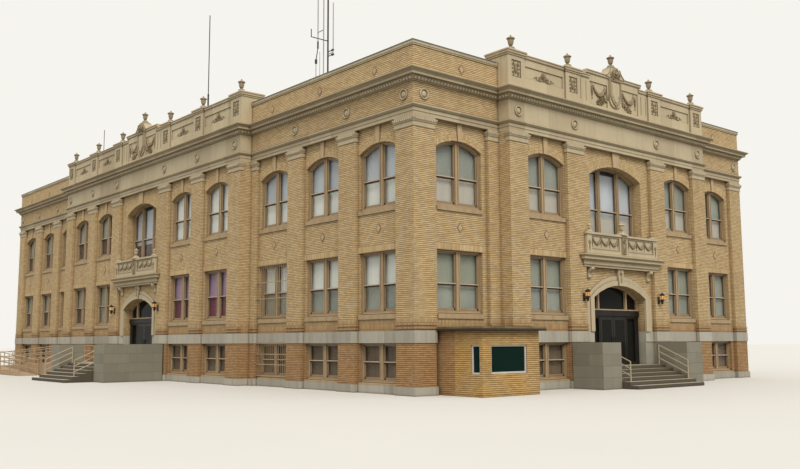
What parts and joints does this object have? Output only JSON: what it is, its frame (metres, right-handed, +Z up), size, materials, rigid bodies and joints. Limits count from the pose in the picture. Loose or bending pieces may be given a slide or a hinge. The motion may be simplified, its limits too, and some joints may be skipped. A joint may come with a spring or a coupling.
{
  "type": "town hall building, 1:2 scale model",
  "caption": "Two-storey brick town hall on a raised basement, with stone-trimmed pavilions, parapets with urns and two arched entrances with opening doors; half size.",
  "frame": {"origin": "centre of the bounding box, at ground level", "axes": "+Z up; the long front faces -Y and the short entrance front faces +X; the building runs along X"},
  "size_m": [23.605, 14.095, 10.66],
  "materials": {
    "brick": "buff face brick, dry pressed",
    "trim_stone": "carved grey-tan stone",
    "light_stone": "smooth light grey stone",
    "concrete": "trowelled concrete",
    "glass": "window glass",
    "window_frame_paint": "tan painted wood",
    "door_metal": "dark bronze anodised",
    "lantern_metal": "dark painted",
    "steel_rail": "brushed pipe",
    "tan_rail": "tan painted pipe",
    "mast_metal": "weathered",
    "white_frame": "white painted",
    "roof_edge": "dark metal fascia",
    "roofing": "grey roofing sheet"
  },
  "bodies": {
    "building": {"annex_roof": "roof_edge", "annex_walls": "brick", "annex_windows": "white_frame", "architrave": "trim_stone", "back_wall": "brick", "balconies": "trim_stone", "base_plinth": "light_stone", "basement_floor": "concrete", "capitals": "trim_stone", "cheek_walls": "light_stone", "corner_piers": "brick", "cornice": "trim_stone", "entrance_arch_walls": "brick", "entrance_frames": "door_metal", "entrance_glass": "glass", "entrance_hoods": "trim_stone", "entrance_surrounds": "trim_stone", "first_floor": "concrete", "front_steps": "concrete", "front_wall_left": "brick", "front_wall_right": "brick", "handrails": "steel_rail", "left_wall": "brick", "parapet_coping": "trim_stone", "parapet_crests": "trim_stone", "parapet_panels": "trim_stone", "parapet_piers": "trim_stone", "parapet_urns": "trim_stone", "pavilion_frieze": "trim_stone", "pilasters": "brick", "ramp": "concrete", "ramp_railings": "tan_rail", "right_steps": "concrete", "right_wall_far": "brick", "right_wall_near": "brick", "roof_deck": "roofing", "roof_masts": "mast_metal", "second_floor": "concrete", "stone_band": "light_stone", "wall_lanterns": "lantern_metal", "window_frames": "window_frame_paint", "window_glass": "glass", "window_keystones": "trim_stone", "window_sills": "trim_stone", "wing_frieze": "brick", "wing_parapet": "brick"},
    "front_door_left": {"front_door_left": "door_metal"},
    "front_door_right": {"front_door_right": "door_metal"},
    "right_door_left": {"right_door_left": "door_metal"},
    "right_door_right": {"right_door_right": "door_metal"}
  },
  "joints": [
    {"name": "front_door_left_hinge", "type": "hinge", "parent": "building", "child": "front_door_left", "pos_m": [-1.0695, -4.545, 0.95], "axis": [0, 0, -1], "range_deg": [0, 95]},
    {"name": "front_door_right_hinge", "type": "hinge", "parent": "building", "child": "front_door_right", "pos_m": [-0.1555, -4.545, 0.95], "axis": [0, 0, 1], "range_deg": [0, 95]},
    {"name": "right_door_left_hinge", "type": "hinge", "parent": "building", "child": "right_door_left", "pos_m": [10.4, 0.7055, 0.95], "axis": [0, 0, -1], "range_deg": [0, 95]},
    {"name": "right_door_right_hinge", "type": "hinge", "parent": "building", "child": "right_door_right", "pos_m": [10.4, 1.6195, 0.95], "axis": [0, 0, 1], "range_deg": [0, 95]}
  ]
}
